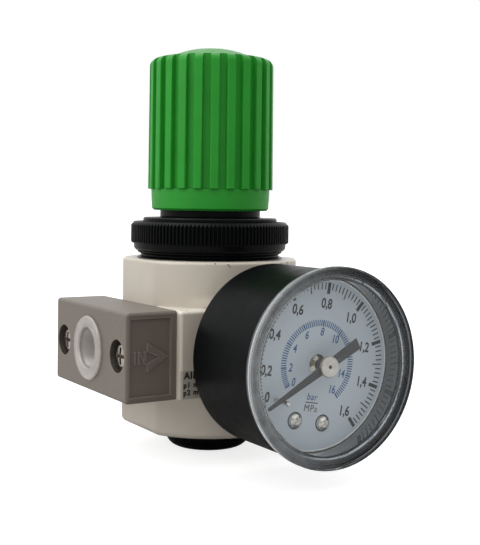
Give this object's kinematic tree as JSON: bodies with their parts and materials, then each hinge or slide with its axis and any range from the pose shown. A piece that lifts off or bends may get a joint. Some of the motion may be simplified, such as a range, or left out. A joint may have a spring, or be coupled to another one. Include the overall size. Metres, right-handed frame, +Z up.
{
  "type": "air pressure regulator",
  "caption": "In-line compressed-air pressure regulator with a ribbed push-to-lock knob, panel ring nut, bolted threaded connection plates and a front pressure gauge.",
  "frame": {"origin": "centre of the flat underside of the bottom plug, on the regulating axis", "axes": "+Z up along the regulating axis towards the knob; +X is the flow direction, from inlet plate to outlet plate; the gauge faces -Y"},
  "size_m": [0.0655, 0.0775, 0.0982],
  "materials": {
    "body_paint": "satin",
    "plate_paint": "satin",
    "knob_green": "satin",
    "black_plastic": "satin",
    "case_black": "satin",
    "clear_plastic": "gloss",
    "dial_white": "matte",
    "pointer_black": "matte",
    "plated_steel": "satin",
    "spring_steel": "satin",
    "brass": "satin",
    "alloy": "satin",
    "rubber": "matte",
    "cap_plastic": "gloss"
  },
  "bodies": {
    "housing": {"body": "body_paint", "valve_seat": "brass", "bottom_plug": "black_plastic", "plug_o_ring": "rubber", "valve_spring": "spring_steel", "diaphragm": "rubber", "range_spring": "spring_steel", "bonnet": "black_plastic", "inlet_plate": "plate_paint", "outlet_plate": "plate_paint", "plate_seals": "rubber", "plate_screws": "plated_steel", "gauge_stem": "brass", "bourdon_tube": "brass", "gauge_seal": "rubber", "gauge_case": "case_black", "gauge_window": "clear_plastic", "gauge_dial": "dial_white", "stop_pin": "plated_steel", "movement_frame": "brass", "movement_screws": "plated_steel", "hairspring": "spring_steel", "rear_port_plug": "black_plastic", "rear_plug_seal": "rubber"},
    "spindle": {"adjusting_spindle": "plated_steel", "thrust_washer": "brass"},
    "spring_seat": {"spring_seat_nut": "brass"},
    "knob": {"knob": "knob_green"},
    "ring_nut": {"ring_nut": "black_plastic"},
    "diaphragm_centre": {"relief_seat": "brass", "diaphragm_disc": "alloy"},
    "valve": {"valve_stem": "brass", "valve_disc_seal": "rubber"},
    "pointer": {"pointer": "pointer_black", "pointer_cap": "plated_steel", "pinion_arbor": "brass"},
    "sector": {"sector_gear": "brass"},
    "link": {"gauge_link": "brass"},
    "inlet_cap": {"inlet_port_cap": "cap_plastic"}
  },
  "joints": [
    {"name": "knob_turn", "type": "hinge", "parent": "housing", "child": "spindle", "pos_m": [0, 0, 0.08], "axis": [0, 0, -1], "range_deg": [0, 1800]},
    {"name": "spring_seat_travel", "type": "slide", "parent": "housing", "child": "spring_seat", "axis": [0, 0, -1], "range_m": [0, 0.00755], "deforming": ["range_spring"]},
    {"name": "knob_lock", "type": "slide", "parent": "spindle", "child": "knob", "axis": [0, 0, -1], "range_m": [0, 0.0016]},
    {"name": "ring_nut_travel", "type": "slide", "parent": "housing", "child": "ring_nut", "axis": [0, 0, 1], "range_m": [-0.0017, 0.008]},
    {"name": "diaphragm_lift", "type": "slide", "parent": "housing", "child": "diaphragm_centre", "axis": [0, 0, -1], "range_m": [0, 0.001], "deforming": ["diaphragm"]},
    {"name": "valve_lift", "type": "slide", "parent": "housing", "child": "valve", "axis": [0, 0, -1], "range_m": [0, 0.001], "deforming": ["valve_spring"]},
    {"name": "pointer_turn", "type": "hinge", "parent": "housing", "child": "pointer", "pos_m": [0, -0.044, 0.0264], "axis": [0, 1, 0], "range_deg": [0, 263]},
    {"name": "sector_turn", "type": "hinge", "parent": "housing", "child": "sector", "pos_m": [0.003, -0.039, 0.01815], "axis": [0, 1, 0], "range_deg": [-44, 0]},
    {"name": "link_turn", "type": "hinge", "parent": "sector", "child": "link", "pos_m": [0.00738, -0.0385, 0.01673], "axis": [0, 1, 0], "range_deg": [0, 44], "deforming": ["bourdon_tube"]},
    {"name": "inlet_cap_pull", "type": "slide", "parent": "housing", "child": "inlet_cap", "axis": [-1, 0, 0], "range_m": [0, 0.012]}
  ],
  "couplings": [
    {"joint": "spring_seat_travel", "follows": "knob_turn", "m_per_rad": 0.00023873},
    {"joint": "valve_lift", "follows": "diaphragm_lift", "ratio": 1},
    {"joint": "sector_turn", "follows": "pointer_turn", "ratio": -0.16667},
    {"joint": "link_turn", "follows": "pointer_turn", "ratio": 0.16667}
  ]
}
